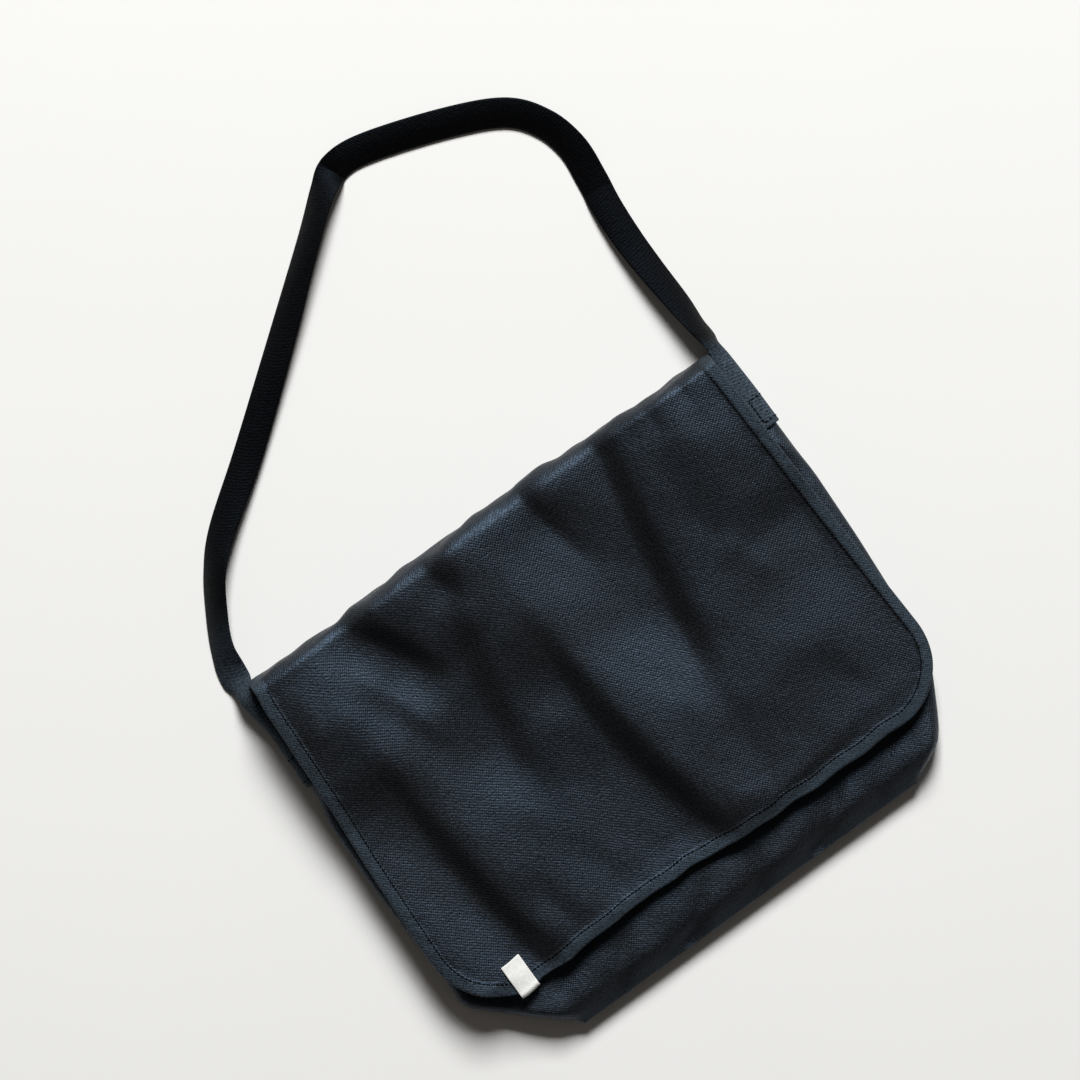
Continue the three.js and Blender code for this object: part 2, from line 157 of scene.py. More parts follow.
# Folds: a line from (x0, y0) to (x1, y1), bowed towards its right bank, with the widths of its left and its
# right bank, its depth (a ridge is negative), and how gently it starts and ends. Left and right are as seen
# from above with the line running down
FOLD_COLUMNS = "x0 y0 x1 y1 bow left right depth start end"
FLAP_FOLDS = table(
    FOLD_COLUMNS,
    (-152, 204, -90, 98, 3, 48, 14, 7.5, 10, 50),
    (-125, 204, -76, 100, 3, 14, 60, -5.5, 10, 36),
    (-130, 124, -102, 50, 0, 10, 34, -2.4, 30, 60),
    (-54, 126, -79, 2, -5, 55, 18, 5.5, 60, 60),
    (-36, 126, -60, 0, -3, 18, 55, -5.5, 70, 50),
    (-16, 64, 12, -122, -13, 80, 15, 7.5, 60, 14),
    (-4, 90, 26, -122, -6, 16, 70, -8, 140, 14),
    (0, 100, 66, 96, 0, 60, 50, 1.2, 60, 40),
    (112, 212, 66, 0, -6, 95, 16, 8.5, 20, 90),
    (126, 212, 84, -6, -4, 15, 90, -6, 20, 90),
    (132, 52, 146, 14, 0, 14, 16, -1.6, 20, 30),
    (50, -48, 160, -40, 0, 45, 45, -5, 60, 60),
    (-160, 44, -141, -122, -6, 60, 15, 8.5, 70, 14),
    (-204, 36, -204, -112, 0, 14, 44, -5, 60, 14),
    (-146, 70, -126, -122, -5, 15, 60, -6.5, 110, 14),
    (-190, 114, -130, 102, 0, 40, 90, -6, 40, 80),
    (112, 142, 204, 104, 0, 50, 90, -5, 40, 40),
    (-90, 172, 96, 172, 0, 66, 30, -13, 110, 70),
    (24, 176, 42, 108, 2, 34, 10, 6.5, 8, 70),
    (-62, 180, -42, 130, 0, 36, 12, 8, 10, 40),
    (134, 172, 140, 140, 0, 9, 6, 1.2, 10, 24),
    (164, 172, 168, 146, 0, 8, 5, 1.4, 10, 20),
    (-117, -64, -107, -112, 0, 18, 11, 2.4, 40, 14),
    (-74, -64, -66, -108, 0, 16, 12, 1.5, 40, 14),
    (136, -50, 151, -92, 0, 22, 12, 2, 40, 40),
    (68, -33, 62, -108, 0, 18, 30, 3, 60, 30),
    (184, 150, 187, -20, 0, 25, 8, 2.2, 40, 60),
    (-210, -124, -158, -122, 0, 30, 80, -5, 40, 30),
)
FRONT_FOLDS = table(
    FOLD_COLUMNS,
    (-112, -162, -84, -130, 3, 7, 12, 2.6, 20, 30),
    (-60, -162, -22, -136, -3, 6, 10, 3.4, 20, 30),
    (8, -162, 30, -134, 3, 8, 12, 2.6, 20, 30),
    (52, -162, 96, -132, -3, 6, 11, 3.8, 20, 30),
    (112, -160, 150, -126, 3, 7, 12, 2.6, 20, 30),
    (-150, -140, -128, -126, 2, 6, 9, 1.6, 16, 24),
    (-170, -168, 160, -168, 0, 12, 14, 5, 40, 40),
    (-185, -149, 178, -149, 0, 9, 30, -4.5, 30, 30),
    (196, 96, 213, 66, 0, 6, 4, -2.2, 10, 14),
)

# Hem: a turned edge raised over the cloth and painted paler, for wear and as painted sheen, sewn down in a
# shallow groove that puckers it
STITCH_LINE = 7.6
HEM_RAISE = 0.8
HEM_WAVE = 0.5
HEM_STEP = 1.4
HEM_WEAR_AND_SHEEN_FADE = 5
GROOVE_DEPTH = 0.35
GROOVE_WIDTH = 0.8
PUCKER = 0.1
PUCKER_REACH = 4

# Strap: its route over the floor from the right sewn end to the left one, and its tilt in degrees: 0 where it
# lies flat, 90 where it stands with its outer face away from the loop, less than 0 where it leans in
STRAP_WIDTH = 20.6
STRAP_ON_FRONT = 12.9
STRAP_GAP = 0.9
WRAP_TOP = 154
WRAP_FADE = 20
STRAP_ROUTE = table(
    "x y tilt",
    (207, 99, 90),
    (208, 140, 90),
    (205, 172, 59),
    (203.5, 186, 53),
    (202.8, 206, 39),
    (201.2, 235, 28),
    (200.6, 262, 16),
    (202, 290, 6),
    (205, 312, -4),
    (207, 338, -16),
    (200.5, 363, -20),
    (183, 385, -18),
    (145.5, 403.5, -16),
    (92.5, 421.5, -14),
    (66, 424.5, -10),
    (48, 415.5, 30),
    (18, 392, 40),
    (-36.5, 348.5, 26),
    (-103, 297, 14),
    (-148.5, 264.5, 26),
    (-170, 244, 42),
    (-185, 221.5, 44),
    (-197.5, 197, 40),
    (-203, 172, 18),
    (-204, 140, 90),
    (-203, 84, 90),
)
STRAP_CROWN = 1.6
# Painted light: the strap is painted pale with its third tone up to these heights on each side, fading over
# these lengths
LEFT_PAINTED_LIGHT_TO = 230
LEFT_PAINTED_LIGHT_FADE = 90
RIGHT_PAINTED_LIGHT_TO = 178
RIGHT_PAINTED_LIGHT_FADE = 26

# Label: a bare white tape folded round the flap's lower edge
LABEL_MIDDLE = -162
LABEL_WIDTH = 14.7
LABEL_FRONT = 23
LABEL_BACK = 8
LABEL_GAP = 0.85

# Stitches: short threads along the flap's hem and in a box at each sewn end of the strap. A thread has rings
# at shares of its half length, each with a share of its full width
STITCH_SPACING = 3.2
STITCH_LENGTH = 2.8
THREAD_WIDTH = 1.2
RING_PLACES = (-1, -0.6, 0.6, 1)
RING_WIDTHS = (0.45, 1, 1, 0.45)
RING_TURNS = (45, 135, 225, 315)
LOWER_HEM_TO = -90
STRAP_BOX = 22
STRAP_BOX_START = 3.5
STRAP_BOX_INSET = 2.4

# Grids: close steps in hems and rolls, wider ones between them
ROLL_STEPS = 14
EDGE_STEPS = 4
FLAP_CLOSE_ROWS = (0, 16, 0.8)
FLAP_NEXT_ROWS = (16, 40, 1.6)
FLAP_WIDE_ROWS = 105
FLAP_CLOSE_COLUMNS = (0, 14, 0.7)
FLAP_WIDE_COLUMNS = 150
TOP_TURNS = 30
ROOT_ROWS = 7
FRONT_ROWS = 130
FRONT_COLUMNS = 150
BACK_ROWS = 90
BACK_COLUMNS = 90
STRAP_STRETCH_STEPS = 26
STRAP_COLUMNS = 25
WRAP_TURNS = 181
LABEL_COLUMNS = 16
LABEL_BACK_ROWS = 12
LABEL_TURNS = 16
LABEL_FRONT_ROWS = 30
HEM_LINE_POINTS = 200
HEM_CORNER_POINTS = 40
SLOPE_STEP = 0.5
WALK_STEP = 0.2

# Canvas: plain-woven polyester of a nearly black dye, which looks navy by the rough, bluish gloss of its
# crossing threads and is paler where hems and seams rub, a pale tone that over the hems is also painted
# sheen.
# The real threads are about 0.5 mm apart, too fine for the picture, so they are drawn 1.2 mm apart. Tones and
# roughness are for deep threads, high threads and wear with painted sheen
THREAD_SPACING = 1.2
CANVAS_RELIEF = 0.3
CANVAS_TONES = ("#050505", "#1e1b18", "#30393f")
CANVAS_ROUGHNESS = (0.32, 0.64, 0.66)
CANVAS_GLOSS = 0.68
GLOSS_TINT = "#a4c4e6"
WEAVE_CONTRAST = 0.5
SLUB_SIZE = 1.7
SLUB_SHARE = 0.6
FADE_SIZE = 70
FADE_SHADES = (0.82, 1.18)
NOISE_RANGE = (0.3, 0.7)

# Strap cloth: the same canvas folded and pressed flat, and duller; its tones are painted blacker than the
# flap's as painted shade, and a pale third tone is painted towards its sewn ends as painted light
STRAP_PAINTED_SHADE_AND_LIGHT_TONES = ("#040404", "#0a0909", "#4c5864")
STRAP_ROUGHNESS = (0.4, 0.58, 0.8)
STRAP_GLOSS = 0.08

# Tape: bleached cotton, dull and finely ribbed
TAPE_SPACING = 0.9
TAPE_RELIEF = 0.08
TAPE_TONES = ("#d8d8d4", "#f4f4f1", "#f4f4f1")
TAPE_ROUGHNESS = (0.75, 0.85, 0.85)
TAPE_GLOSS = 0.25

# Thread: dull spun polyester, which sinks into its groove as a dark line
THREAD_TONE = "#060607"
THREAD_ROUGHNESS = 0.9
THREAD_GLOSS = 0.05
THREAD_GRAIN = 1.1
THREAD_GRAIN_SHARE = 0.3

# Floor: matt white paper, evenly pale. Its reach to each side and its height are in metres
FLOOR_TONE = "#f4f4f2"
FLOOR_ROUGHNESS = 0.9
FLOOR_GLOSS = 0.5
FLOOR_GRAIN = 330
FLOOR_GRAIN_SHARE = 0.01
FLOOR_REACH = 6
FLOOR = -0.0002

# Light: a large soft box from the picture's top, its distance and size in metres, and a weak even fill
KEY_AZIMUTH = 54.1
KEY_ELEVATION = 40
KEY_DISTANCE = 9
KEY_SIZE = 3.4
KEY_POWER = 1200
FILL = 0.06
FILL_TONE = "#fff3e8"

# Camera: straight above the bag, turned so that the bag lies at a slant in the picture
PICTURE_WIDTH = 756
PICTURE_MIDDLE = (27.1, 128.1)
PICTURE_TURN = -35.9
LENS = 180
SENSOR = 36
CLOTH_LEVEL = 8


def ease(t):
    """Eases from 0 to 1 as t goes from 0 to 1, and stays there outside."""
    t = np.clip(t, 0, 1)
    return t * t * (3 - 2 * t)


def mix(a, b, share):
    """Straight from a to b as share goes from 0 to 1."""
    return a + (b - a) * share


def unit(vectors):
    """Vectors of length 1."""
    return vectors / np.linalg.norm(vectors, axis=-1, keepdims=True)


def roll(inwards, distance):
    """A quarter ellipse: 0 at the edge, standing upright there, and 1 from the given distance inwards."""
    left = 1 - np.clip(inwards / distance, 0, 1)
    return np.sqrt(1 - left * left)


def roll_steps(distance, steps):
    """Distances inwards that divide a roll into equal turns."""
    return distance * (1 - np.cos(np.linspace(0, math.pi / 2, steps + 1)))


def read_soft(sections, column, y):
    """A section table's column at y with its corners softened: the mean of five readings around the place."""
    offsets = OUTLINE_SOFTENING * np.arange(-2, 3)
    return sum(np.interp(y + k, sections["y"], sections[column]) for k in offsets) / len(offsets)


def ripples(x, y, seed, shortest, longest):
    """Uneven ripples, mostly between -1 and 1: a sum of plane sine waves in all directions, with wavelengths
    between the two given and seeded phases, over the square root of half their number."""
    draw = np.random.default_rng(seed)
    angle = draw.uniform(0, 2 * math.pi, RIPPLE_WAVES)
    pace = 2 * math.pi / draw.uniform(shortest, longest, RIPPLE_WAVES)
    phase = draw.uniform(0, 2 * math.pi, RIPPLE_WAVES)
    walk = np.multiply.outer(x, np.cos(angle)) + np.multiply.outer(y, np.sin(angle))
    return np.sin(walk * pace + phase).sum(-1) / math.sqrt(RIPPLE_WAVES / 2)


def fold_height(folds, x, y):
    """The sum of all folds: each is a dip of its depth across its bowed line, fading on both banks as
    exp(-(distance / bank) to a power) and easing out at both ends. A power under 2 makes its bottom a
    crease."""
    span_x = folds["x1"] - folds["x0"]
    span_y = folds["y1"] - folds["y0"]
    length = np.hypot(span_x, span_y)
    along_x = span_x / length
    along_y = span_y / length
    from_x = np.subtract.outer(x, folds["x0"])
    from_y = np.subtract.outer(y, folds["y0"])
    along = from_x * along_x + from_y * along_y
    share = np.clip(along / length, 0, 1)
    across = from_y * along_x - from_x * along_y - folds["bow"] * 4 * share * (1 - share)
    bank = np.where(across < 0, folds["left"], folds["right"])
    ends = ease(along / folds["start"] + 0.5) * ease((length - along) / folds["end"] + 0.5)
    profile = np.exp(-(np.abs(across / bank) ** CREASE_POWER))
    return -(folds["depth"] * profile * ends).sum(-1)


def roll_share(x, y, width):
    """How far a panel has rolled from its seam to its level part: the product of its three edges' rolls."""
    from_left = roll(x - read_soft(BODY_SECTIONS, "left", y), width)
    from_right = roll(read_soft(BODY_SECTIONS, "right", y) - x, width)
    return from_left * from_right * roll(y - BODY_BOTTOM, width)


def front_height(x, y):
    """The front's outer face: rolling up from the seam, with soft creases and ripples that die out there."""
    rolled = roll_share(x, y, FRONT_ROLL)
    creases = fold_height(FRONT_FOLDS, x, y) + FRONT_SLACK * ripples(x, y, *FRONT_RIPPLES)
    return FRONT_EDGE + SIDE_RISE * rolled + creases * rolled


def back_height(x, y):
    """The back's outer face: flat on the floor, rolling up to the seam at its edges."""
    return BACK_EDGE * (1 - roll_share(x, y, BACK_ROLL))


def lower_edge(x):
    """The flap's lower edge: its table, with the slight wave of a sewn hem."""
    edge = np.interp(x, FLAP_LOWER_EDGE["x"], FLAP_LOWER_EDGE["y"])
    return edge + HEM_WAVE * ripples(x, 0 * x, *HEM_RIPPLES)


def hem_distance(x, y):
    """How far a point of the flap lies inside its outline, with the lower corners rounded."""
    inside = np.minimum(x - read_soft(FLAP_SIDES, "left", y), read_soft(FLAP_SIDES, "right", y) - x)
    above = y - lower_edge(x)
    to_corner = np.hypot(np.maximum(FLAP_CORNER - inside, 0), np.maximum(FLAP_CORNER - above, 0))
    in_corner = (inside < FLAP_CORNER) & (above < FLAP_CORNER)
    return np.where(in_corner, FLAP_CORNER - to_corner, np.minimum(inside, above))


def calmed(y):
    """Where the flap's height is read for a place at y: y itself, slowing to a stop between CALM_FROM and the
    start of the roll over the top, so that the flap is level there."""
    beyond = np.maximum(y - CALM_FROM, 0)
    return y - beyond**2 / (2 * (TOP_ROLL_MIDDLE - CALM_FROM))


def flap_lie(x, y):
    """How the flap lies: on a bed rolled at its sides, clear of the front, puffed up and folded."""
    y = calmed(y)
    from_left = roll(x - read_soft(BODY_SECTIONS, "left", y) + FLAP_OVERHANG, FLAP_ROLL)
    from_right = roll(read_soft(BODY_SECTIONS, "right", y) - x + FLAP_OVERHANG, FLAP_ROLL)
    bed = FRONT_EDGE + SIDE_RISE * from_left * from_right
    inside = np.minimum(x - read_soft(FLAP_SIDES, "left", y), read_soft(FLAP_SIDES, "right", y) - x)
    over_strap = ease((y - STRAP_CLEARANCE_FROM) / (STRAP_CLEARANCE_TO - STRAP_CLEARANCE_FROM))
    over_strap = over_strap * ease(2 - inside / STRAP_CLEARANCE_REACH)
    clearance = mix(HEM_CLEARANCE, STRAP_CLEARANCE, over_strap)
    above = y - lower_edge(x)
    upwards = ease((y - LOWER_PUFF_FROM) / (LOWER_PUFF_TO - LOWER_PUFF_FROM))
    puff = PUFF * mix(LOWER_PUFF, 1, upwards)
    hem_share = ease(np.minimum(inside, above) / HEM_FOLD_REACH)
    lift = puff + fold_height(FLAP_FOLDS, x, y) * mix(HEM_FOLD_SHARE, 1, hem_share)
    return bed + clearance + (lift + np.hypot(lift, SOFT_FLOOR)) / 2


def flap_height(x, y):
    """The flap's outer face: how it lies, with its raised hem, the stitched groove in it and its puckers."""
    depth = hem_distance(x, y)
    raised = HEM_RAISE * ease((HEM_WIDTH - depth) / HEM_STEP)
    groove = GROOVE_DEPTH * np.exp(-(((depth - STITCH_LINE) / GROOVE_WIDTH) ** 2))
    near_stitches = np.exp(-(((depth - STITCH_LINE) / PUCKER_REACH) ** 2))
    puckers = PUCKER * ripples(x, y, *PUCKER_RIPPLES) * near_stitches
    slack = FLAP_SLACK * ripples(x, y, *FLAP_RIPPLES)
    return flap_lie(x, y) + raised - groove + puckers + slack * ease(depth / HEM_FOLD_REACH)


def face_normals(grid):
    """Outward normals of a grid: its step along the row crossed with its step along the column."""
    return unit(np.cross(np.gradient(grid, axis=1), np.gradient(grid, axis=0)))


def rim_walk(rows, columns):
    """Flat indices of a grid's rim, counter-clockwise as seen from outside."""
    index = np.arange(rows * columns).reshape(rows, columns)
    return np.concatenate([index[0, :-1], index[:-1, -1], index[-1, :0:-1], index[:0:-1, 0]])


def lengths_from(grid, axis, start):
    """Lengths walked over a grid along an axis, measured from the given row or column."""
    steps = np.linalg.norm(np.diff(grid, axis=axis), axis=-1)
    walked = np.concatenate([np.zeros_like(np.take(steps, [0], axis)), np.cumsum(steps, axis)], axis)
    return walked - np.take(walked, [start], axis)


def cloth_wall(name, outer, thickness, wear_and_sheen):
    """A closed cloth wall: the outer grid, an inner grid one thickness below it along the normals, and a
    rounded edge round the rim, whose points are middle + cos(a) half a thickness up + sin(a) half a thickness
    out for angles a from 0 to 180 degrees. Its UV map holds the lengths walked over the cloth."""
    rows, columns = outer.shape[:2]
    normals = face_normals(outer)
    inner = outer - normals * np.broadcast_to(thickness, (rows, columns))[..., None]
    across = lengths_from(outer, 1, columns // 2)
    along = lengths_from(outer, 0, 0)
    flat = np.stack([across, along], -1).reshape(-1, 2)
    walk = rim_walk(rows, columns)
    over = outer.reshape(-1, 3)[walk]
    under = inner.reshape(-1, 3)[walk]
    half = (over - under) / 2
    ahead = np.roll(over, -1, 0) - np.roll(over, 1, 0)
    out = unit(np.cross(ahead, half)) * np.linalg.norm(half, axis=-1, keepdims=True)
    angles = np.linspace(0, math.pi, EDGE_STEPS + 2)[1:-1, None, None]
    edge = (over + under) / 2 + np.cos(angles) * half + np.sin(angles) * out
    points = np.concatenate([outer.reshape(-1, 3), inner.reshape(-1, 3), edge.reshape(-1, 3)])
    uv = np.concatenate([flat, flat, np.tile(flat[walk], (EDGE_STEPS, 1))])
    pale_wear_and_sheen = np.concatenate([wear_and_sheen.ravel(), wear_and_sheen.ravel(), np.tile(wear_and_sheen.ravel()[walk], EDGE_STEPS)])
    index = np.arange(rows * columns).reshape(rows, columns)
    faces = np.stack([index[:-1, :-1], index[:-1, 1:], index[1:, 1:], index[1:, :-1]], -1).reshape(-1, 4)
    below = rows * columns
    rounded = 2 * below + np.arange(EDGE_STEPS * len(walk)).reshape(EDGE_STEPS, -1)
    rings = np.concatenate([walk[None], rounded, walk[None] + below])
    nexts = np.roll(rings, -1, 1)
    band = np.stack([rings[:-1], rings[1:], nexts[1:], nexts[:-1]], -1).reshape(-1, 4)
    quads = np.concatenate([faces, below + faces[:, ::-1], band])
    return make_piece(name, points, quads, uv, pale_wear_and_sheen)


def make_piece(name, points, quads, uv, pale_wear_and_sheen):
    """An object at the origin from points and quads in millimetres, with a UV map in metres of cloth and an
    attribute for wear and painted sheen."""
    mesh = bpy.data.meshes.new(name)
    mesh.vertices.add(len(points))
    mesh.vertices.foreach_set("co", (points * MM).ravel())
    mesh.loops.add(quads.size)
    mesh.loops.foreach_set("vertex_index", quads.ravel())
    mesh.polygons.add(len(quads))
    mesh.polygons.foreach_set("loop_start", np.arange(0, quads.size, 4))
    mesh.polygons.foreach_set("use_smooth", np.ones(len(quads), bool))
    layer = mesh.uv_layers.new(name="Cloth")
    layer.data.foreach_set("uv", (uv[quads.ravel()] * MM).ravel())
    attribute = mesh.attributes.new("WearAndSheen", "FLOAT", "POINT")
    attribute.data.foreach_set("value", pale_wear_and_sheen)
    mesh.update(calc_edges=True)
    mesh.validate()
    piece = bpy.data.objects.new(name, mesh)
    bpy.context.collection.objects.link(piece)
    return piece


def across_steps(left, right, dense, count):
    """Places across each row from its left to its right end: the dense distances in from both ends, and even
    steps between them."""
    share = np.linspace(0, 1, count + 2)[1:-1]
    inner_left = left + dense[-1]
    inner_right = right - dense[-1]
    middle = inner_left[:, None] + (inner_right - inner_left)[:, None] * share
    return np.concatenate([left[:, None] + dense, middle, right[:, None] - dense[::-1]], 1)


def flap_grid():
    """The flap's outer face: rows from the lower edge up the front, round a half-ellipse over the bag's top
    and back to the root on the back panel. The lowest rows are shortened to round the corners."""
    lowest = FLAP_LOWER_EDGE["y"][0]
    height = TOP_ROLL_MIDDLE - lowest
    wide_rows = np.linspace(FLAP_NEXT_ROWS[1], height, FLAP_WIDE_ROWS)
    above = np.concatenate([np.arange(*FLAP_CLOSE_ROWS), np.arange(*FLAP_NEXT_ROWS), wide_rows])
    y = lowest + above
    inset = FLAP_CORNER * (1 - roll(above, FLAP_CORNER))
    left = read_soft(FLAP_SIDES, "left", y) + inset
    right = read_soft(FLAP_SIDES, "right", y) - inset
    x = across_steps(left, right, np.arange(*FLAP_CLOSE_COLUMNS), FLAP_WIDE_COLUMNS)
    lower = lower_edge(x)
    wavy = mix(lower, TOP_ROLL_MIDDLE, (above / height)[:, None])
    front = np.stack([x, wavy, flap_height(x, wavy)], -1)
    top = front[-1]
    turn = np.linspace(0, math.pi, TOP_TURNS)[1:, None]
    pinch = PINCH_SHARE * np.minimum(fold_height(FLAP_FOLDS, top[:, 0], calmed(top[:, 1])), 0)
    reach = np.interp(top[:, 0], FLAP_TOP_EDGE["x"], FLAP_TOP_EDGE["y"]) - TOP_ROLL_MIDDLE + pinch
    half = (top[:, 2] - ROOT_HEIGHT) / 2
    crumples = TOP_CRUMPLE * ripples(top[:, 0] + 0 * turn, half * turn, *TOP_RIPPLES)
    rolled_y = TOP_ROLL_MIDDLE + (reach + crumples) * np.sin(turn)
    rolled_z = ROOT_HEIGHT + half * (1 + np.cos(turn))
    rolled = np.stack([np.broadcast_to(top[:, 0], rolled_y.shape), rolled_y, rolled_z], -1)
    back = np.linspace(0, ROOT_LENGTH, ROOT_ROWS)[1:, None] + np.zeros(len(top))
    root = np.stack([top[:, 0] + 0 * back, TOP_ROLL_MIDDLE - back, ROOT_HEIGHT + 0 * back], -1)
    return np.concatenate([front, rolled, root])


def make_flap():
    """The flap, thicker in its hems and painted pale over them, for wear and as painted sheen."""
    grid = flap_grid()
    depth = hem_distance(grid[..., 0], grid[..., 1])
    thickness = mix(HEM, CLOTH, ease((depth - HEM_WIDTH) / HEM_STEP + 1))
    # Painted sheen: the hems are painted pale with the third tone, partly for wear and partly for the sheen
    # they catch
    wear_and_sheen = ease((HEM_WIDTH - depth) / HEM_WEAR_AND_SHEEN_FADE)
    return cloth_wall("flap_cloth", grid, thickness, wear_and_sheen)


def panel_grid(y, width, height, steps):
    """A body panel's outer face: rows between its two sides, with close steps in the rolls at the seams."""
    left = read_soft(BODY_SECTIONS, "left", y)
    right = read_soft(BODY_SECTIONS, "right", y)
    x = across_steps(left, right, roll_steps(width, ROLL_STEPS), steps)
    places = np.broadcast_to(y[:, None], x.shape)
    return np.stack([x, places, height(x, places)], -1)


def make_front_panel():
    """The front panel: rows run from the bottom seam up to the free top edge."""
    bottom = BODY_BOTTOM + roll_steps(FRONT_ROLL, ROLL_STEPS)
    y = np.concatenate([bottom, np.linspace(bottom[-1], FRONT_TOP, FRONT_ROWS)[1:]])
    grid = panel_grid(y, FRONT_ROLL, front_height, FRONT_COLUMNS)
    wear_and_sheen = 1 - roll_share(grid[..., 0], grid[..., 1], FRONT_ROLL)
    return cloth_wall("front_cloth", grid, CLOTH, wear_and_sheen)


def make_back_panel():
    """The back panel: rows run from its top edge down to the bottom seam, so that its outer face is
    underneath."""
    bottom = BODY_BOTTOM + roll_steps(BACK_ROLL, ROLL_STEPS)
    y = np.concatenate([bottom, np.linspace(bottom[-1], BACK_TOP, BACK_ROWS)[1:]])[::-1]
    grid = panel_grid(y, BACK_ROLL, back_height, BACK_COLUMNS)
    wear_and_sheen = 1 - roll_share(grid[..., 0], grid[..., 1], BACK_ROLL)
    return cloth_wall("back_cloth", grid, CLOTH, wear_and_sheen)


def smooth_path(columns, steps):
    """A smooth curve through rows of a table: for each stretch the cubic whose slope at a row is half the
    step between its neighbours. Returns the places and their slopes."""
    points = np.stack(columns, -1)
    ends = np.concatenate([[2 * points[0] - points[1]], points, [2 * points[-1] - points[-2]]])
    before, start, end, after = ends[:-3], ends[1:-2], ends[2:-1], ends[3:]
    slope_start = (end - before) / 2
    slope_end = (after - start) / 2
    station = np.linspace(0, len(start), len(start) * steps + 1)
    stretch = np.minimum(station.astype(int), len(start) - 1)
    t = (station - stretch)[:, None]
    a, b, c, d = start[stretch], end[stretch], slope_start[stretch], slope_end[stretch]
    bend = 2 * a - 2 * b + c + d
    swing = -3 * a + 3 * b - 2 * c - d
    return a + c * t + swing * t**2 + bend * t**3, c + 2 * swing * t + 3 * bend * t**2


def wrapped_points(side, y, reach, lift=0):
    """Points of the strap's outer face where it goes round a side of the body: a walk from the seam over the
    front (positive reach) or under the back (negative) along the panel's own elliptic roll and on over its
    level part, held off by the strap's thickness, a gap and a lift."""
    over_front = reach > 0
    turns = np.linspace(0, math.pi / 2, WRAP_TURNS)
    lanes = []
    for depth, rise in ((FRONT_ROLL, SIDE_RISE), (BACK_ROLL, -SEAM_HEIGHT)):
        speed = np.hypot(depth * np.sin(turns), rise * np.cos(turns)) * (turns[1] - turns[0])
        walked = np.cumsum(speed) - speed
        turn = np.interp(np.abs(reach), walked, turns)
        beyond = np.maximum(np.abs(reach) - walked[-1], 0)
        normal = unit(np.stack([np.cos(turn) / depth, np.sin(turn) / rise], -1))
        off = STRAP_GAP + STRAP_CLOTH + lift
        inwards = depth * (1 - np.cos(turn)) - off * normal[..., 0] + beyond
        lanes.append((inwards, SEAM_HEIGHT + rise * np.sin(turn) + off * normal[..., 1]))
    inwards = np.where(over_front, lanes[0][0], lanes[1][0])
    z = np.where(over_front, lanes[0][1], lanes[1][1])
    right = read_soft(BODY_SECTIONS, "right", y)
    left = read_soft(BODY_SECTIONS, "left", y)
    edge = np.where(side > 0, right, left)
    return np.stack([edge - side * inwards, y, z], -1)


def strap_grid():
    """The strap's outer face: a band along its route, tilted as the table says and standing on the floor by
    its lower edge, wrapped round the body's sides at both ends and a little crowned across."""
    columns = [STRAP_ROUTE["x"], STRAP_ROUTE["y"], STRAP_ROUTE["tilt"]]
    place, slope = smooth_path(columns, STRAP_STRETCH_STEPS)
    share = np.linspace(0, 1, STRAP_COLUMNS)[:, None]
    tilt = np.radians(place[:, 2])
    heading = unit(slope * [1, 1, 0])
    sideways = np.stack([-heading[:, 1], heading[:, 0], 0 * tilt], -1)
    widthwise = sideways * np.cos(tilt)[:, None] + np.outer(np.sin(tilt), [0, 0, 1])
    outwards = np.cross(heading, widthwise)
    middle = (STRAP_WIDTH * np.abs(np.sin(tilt)) + STRAP_CLOTH * np.cos(tilt)) / 2
    centre = np.stack([place[:, 0], place[:, 1], middle], -1)
    crown = STRAP_CROWN * (1 - (2 * share - 1) ** 2)
    aside = ((share - 0.5) * STRAP_WIDTH)[..., None] * widthwise
    free = centre + aside + (STRAP_CLOTH / 2 + crown)[..., None] * outwards
    reach = STRAP_ON_FRONT - (1 - share) * STRAP_WIDTH + 0 * tilt
    y = place[:, 1] + 0 * share
    wrapped = wrapped_points(np.sign(place[:, 0]) + 0 * share, y, reach)
    return mix(wrapped, free, ease((y - WRAP_TOP) / WRAP_FADE)[..., None])


def make_strap():
    """The strap, painted pale towards its sewn ends as a painted highlight."""
    grid = strap_grid()
    on_left = grid[..., 0] < 0
    # Painted highlight: the pale tone stands for the light that the sewn ends and the lower left run catch
    painted_light_to = np.where(on_left, LEFT_PAINTED_LIGHT_TO, RIGHT_PAINTED_LIGHT_TO)
    painted_light_fade = np.where(on_left, LEFT_PAINTED_LIGHT_FADE, RIGHT_PAINTED_LIGHT_FADE)
    wear_and_sheen = ease((painted_light_to - grid[..., 1]) / painted_light_fade)
    return cloth_wall("strap_cloth", grid, STRAP_CLOTH, wear_and_sheen)


def make_label():
    """The label: rows from the end of its back leaf, round the flap's lower edge and up its front leaf."""
    reach = HEM / 2 + LABEL_GAP + LABEL_CLOTH
    x = np.linspace(-LABEL_WIDTH / 2, LABEL_WIDTH / 2, LABEL_COLUMNS) + LABEL_MIDDLE
    edge = lower_edge(x)
    back = np.linspace(LABEL_BACK, 0, LABEL_BACK_ROWS)[:, None]
    angle = np.linspace(-math.pi / 2, math.pi / 2, LABEL_TURNS)[1:-1, None]
    front = np.linspace(0, LABEL_FRONT, LABEL_FRONT_ROWS)[:, None]
    inwards = np.concatenate([back, 0 * angle, front])
    out = np.concatenate([-reach + 0 * back, reach * np.sin(angle), reach + 0 * front])
    beyond = np.concatenate([0 * back, reach * np.cos(angle), 0 * front])
    y = edge + inwards
    raised = HEM_RAISE * ease(2 - inwards / HEM_WIDTH)
    z = flap_lie(x + 0 * y, y) + raised - HEM / 2 + out
    grid = np.stack([x + 0 * y, y - beyond, z], -1)
    return cloth_wall("label_tape", grid, LABEL_CLOTH, np.zeros(grid.shape[:2]))


